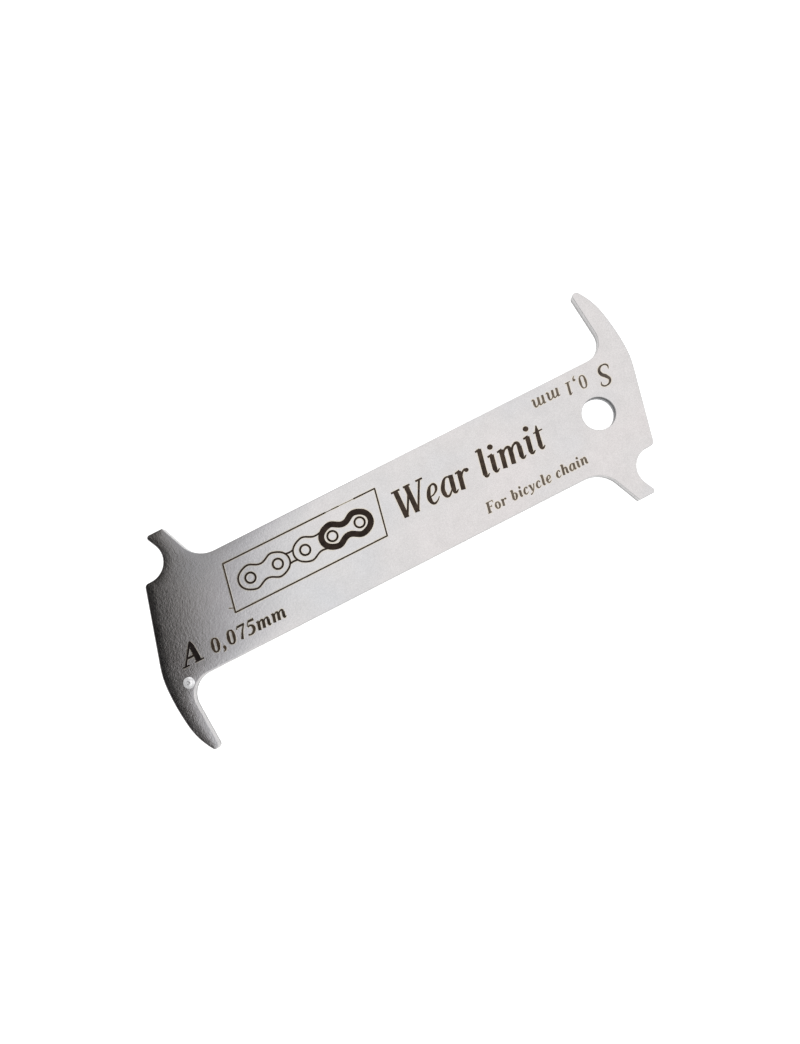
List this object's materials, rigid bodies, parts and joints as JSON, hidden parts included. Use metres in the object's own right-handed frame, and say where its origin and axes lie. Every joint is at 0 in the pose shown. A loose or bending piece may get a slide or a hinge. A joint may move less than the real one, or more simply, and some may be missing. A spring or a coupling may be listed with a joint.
{
  "type": "chain wear gauge",
  "caption": "Flat hardened steel chain wear gauge with a curved measuring horn and a notched nose at each end, a hanging hole and a small pressed-in pin.",
  "frame": {"origin": "middle of the outline's box, on the back face of the plate", "axes": "+X along the plate towards the S end with the hanging hole, +Y towards the S horn, +Z through the thickness, out of the marked front face"},
  "size_m": [0.1044, 0.0454, 0.0023],
  "materials": {
    "plate_steel": "fine ground satin, hardened",
    "pin_steel": "polished steel",
    "mark_brown": "matte dark brown burnt-in marking, flush with the plate"
  },
  "bodies": {
    "root": {"gauge_plate": "plate_steel", "index_pin": "pin_steel"}
  },
  "joints": []
}
